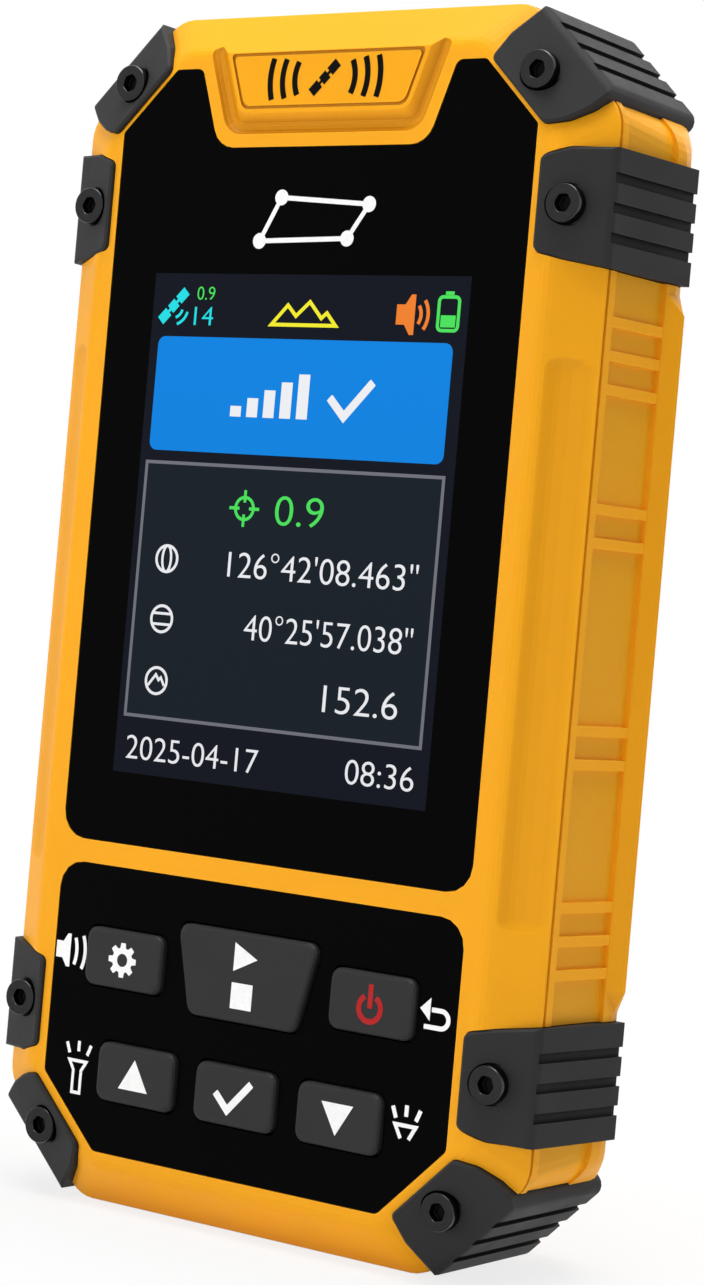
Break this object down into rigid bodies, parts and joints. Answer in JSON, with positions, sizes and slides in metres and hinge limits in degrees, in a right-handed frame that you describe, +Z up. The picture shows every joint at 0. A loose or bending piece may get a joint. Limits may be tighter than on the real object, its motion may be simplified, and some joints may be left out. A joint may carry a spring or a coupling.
{
  "type": "gps land area meter",
  "caption": "Handheld satellite land area meter: chamfered housing with screwed bumper guards, an upright screen, a key pad below it and a covered charging port.",
  "frame": {"origin": "middle of the bottom end, on the ground when the meter stands upright", "axes": "+X to the right seen from the front, +Y from the screen to the back, +Z up to the antenna end"},
  "size_m": [0.0776, 0.0268, 0.138],
  "materials": {
    "housing": "fine texture",
    "guard": "satin",
    "screw": "black oxide",
    "insert": "machined",
    "gasket": "matt",
    "lens": "gloss",
    "tape": "matt",
    "display": "gloss",
    "backlight": "satin",
    "sheet_metal": "bright",
    "flex": "gloss",
    "overlay": "satin",
    "key": "satin",
    "switch": "matt",
    "board": "solder mask",
    "antenna": "fired",
    "battery": "foil pouch",
    "socket": "natural",
    "cover": "matt",
    "led": "clear",
    "torch_lens": "clear"
  },
  "bodies": {
    "housing": {"front_shell": "housing", "middle_frame": "housing", "rear_shell": "housing", "front_gasket": "gasket", "rear_gasket": "gasket", "upper_left_corner_guard": "guard", "upper_right_corner_guard": "guard", "lower_left_corner_guard": "guard", "lower_right_corner_guard": "guard", "upper_left_side_guard": "guard", "upper_right_side_guard": "guard", "lower_left_side_guard": "guard", "lower_right_side_guard": "guard", "guard_screws": "screw", "threaded_inserts": "insert", "screen_lens": "lens", "lens_tape": "tape", "lcd_gasket": "gasket", "lcd_panel": "display", "backlight": "backlight", "lcd_tray": "sheet_metal", "lcd_flex": "flex", "keypad_overlay": "overlay", "keypad_mat": "gasket", "key_switches": "switch", "main_board": "board", "board_screws": "sheet_metal", "processor_chips": "switch", "gnss_module": "sheet_metal", "gnss_antenna": "antenna", "speaker": "switch", "speaker_gasket": "gasket", "battery": "battery", "battery_pad": "gasket", "battery_socket": "socket", "usb_port": "sheet_metal", "torch_led": "led", "torch_lens": "torch_lens"},
    "settings_key": {"settings_key": "key"},
    "start_stop_key": {"start_stop_key": "key"},
    "power_key": {"power_key": "key"},
    "up_key": {"up_key": "key"},
    "enter_key": {"enter_key": "key"},
    "down_key": {"down_key": "key"},
    "usb_cover": {"usb_cover": "cover"}
  },
  "joints": [
    {"name": "settings_press", "type": "slide", "parent": "housing", "child": "settings_key", "axis": [0, 1, 0], "range_m": [0, 0.0004], "stiffness_N_per_m": 400},
    {"name": "start_stop_press", "type": "slide", "parent": "housing", "child": "start_stop_key", "axis": [0, 1, 0], "range_m": [0, 0.0004], "stiffness_N_per_m": 400},
    {"name": "power_press", "type": "slide", "parent": "housing", "child": "power_key", "axis": [0, 1, 0], "range_m": [0, 0.0004], "stiffness_N_per_m": 400},
    {"name": "up_press", "type": "slide", "parent": "housing", "child": "up_key", "axis": [0, 1, 0], "range_m": [0, 0.0004], "stiffness_N_per_m": 400},
    {"name": "enter_press", "type": "slide", "parent": "housing", "child": "enter_key", "axis": [0, 1, 0], "range_m": [0, 0.0004], "stiffness_N_per_m": 400},
    {"name": "down_press", "type": "slide", "parent": "housing", "child": "down_key", "axis": [0, 1, 0], "range_m": [0, 0.0004], "stiffness_N_per_m": 400},
    {"name": "cover_hinge", "type": "hinge", "parent": "housing", "child": "usb_cover", "pos_m": [0.0068, -0.0031, 0.0013], "axis": [0, -1, 0], "range_deg": [0, 90]}
  ]
}
